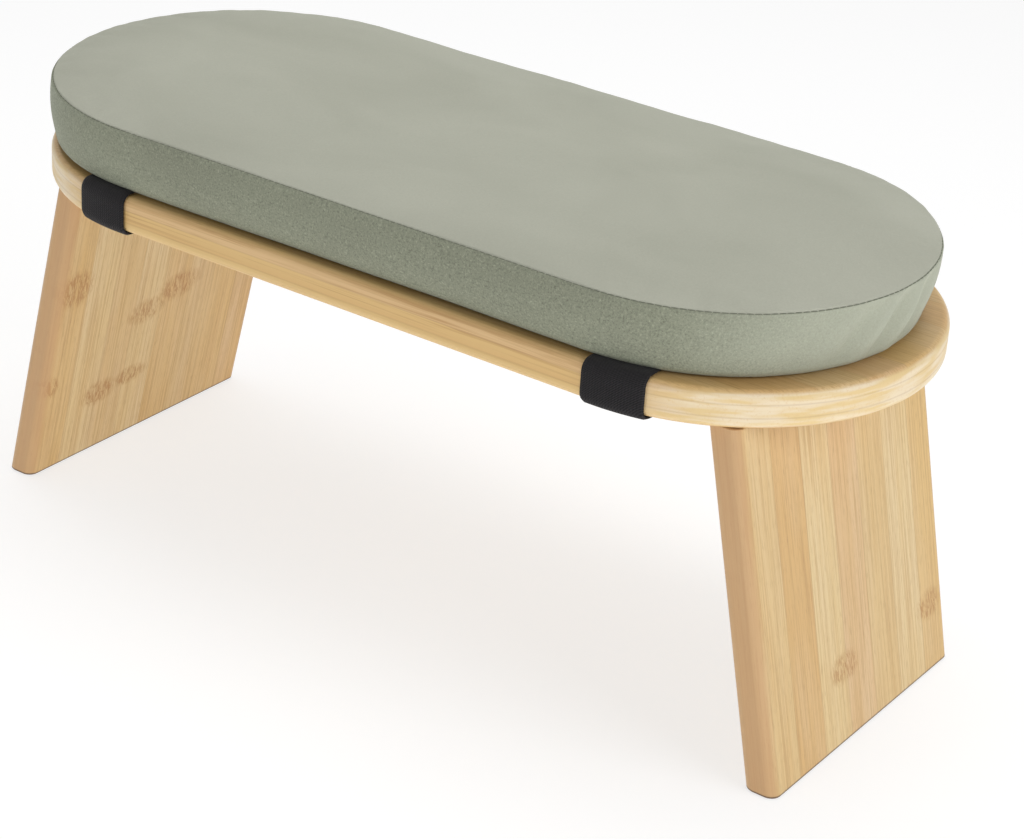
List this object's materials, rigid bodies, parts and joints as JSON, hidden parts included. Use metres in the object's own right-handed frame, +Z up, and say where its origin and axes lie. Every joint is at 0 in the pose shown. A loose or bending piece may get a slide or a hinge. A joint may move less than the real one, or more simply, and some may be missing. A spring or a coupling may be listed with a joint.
{
  "type": "folding meditation bench",
  "caption": "Low kneeling bench: a stadium-shaped wooden seat with a box cushion held on by elastic straps, on splayed plate legs that fold flat under it on butt hinges.",
  "frame": {"origin": "on the floor, midway between the feet of the opened bench", "axes": "+X along the seat from the left leg to the right leg, +Y from front to back, +Z up"},
  "size_m": [0.4406, 0.1936, 0.21],
  "materials": {
    "bamboo_board": "laminated bamboo, satin lacquer, fine streaks along the length",
    "bamboo_leg": "bamboo plate glued up from vertical strips, satin lacquer",
    "hinge_steel": "bright zinc-plated steel",
    "screw_steel": "zinc-plated countersunk screw with a cross recess",
    "velvet": "sage grey-green velvet with a short soft nap",
    "lining": "plain non-slip lining cloth",
    "foam": "open-cell cushion foam",
    "elastic": "black woven elastic band with a fine twill"
  },
  "bodies": {
    "seat": {"seat_board": "bamboo_board", "cushion_foam": "foam", "cushion_cover_top": "velvet", "cushion_cover_band": "velvet", "cushion_cover_base": "lining", "right_elastic_strap": "elastic", "left_elastic_strap": "elastic", "right_hinge_seat_leaf": "hinge_steel", "right_hinge_seat_screw_1": "screw_steel", "right_hinge_seat_screw_2": "screw_steel", "right_hinge_seat_screw_3": "screw_steel", "right_hinge_pin": "hinge_steel", "left_hinge_seat_leaf": "hinge_steel", "left_hinge_seat_screw_1": "screw_steel", "left_hinge_seat_screw_2": "screw_steel", "left_hinge_seat_screw_3": "screw_steel", "left_hinge_pin": "hinge_steel"},
    "right_leg": {"right_leg": "bamboo_leg", "right_hinge_leg_leaf": "hinge_steel", "right_hinge_leg_screw_1": "screw_steel", "right_hinge_leg_screw_2": "screw_steel", "right_hinge_leg_screw_3": "screw_steel"},
    "left_leg": {"left_leg": "bamboo_leg", "left_hinge_leg_leaf": "hinge_steel", "left_hinge_leg_screw_1": "screw_steel", "left_hinge_leg_screw_2": "screw_steel", "left_hinge_leg_screw_3": "screw_steel"}
  },
  "joints": [
    {"name": "right_leg_fold", "type": "hinge", "parent": "seat", "child": "right_leg", "pos_m": [0.16383, 0, 0.1535], "axis": [0, 1, 0], "range_deg": [0, 102.5]},
    {"name": "left_leg_fold", "type": "hinge", "parent": "seat", "child": "left_leg", "pos_m": [-0.16383, 0, 0.1535], "axis": [0, -1, 0], "range_deg": [0, 102.5]}
  ]
}
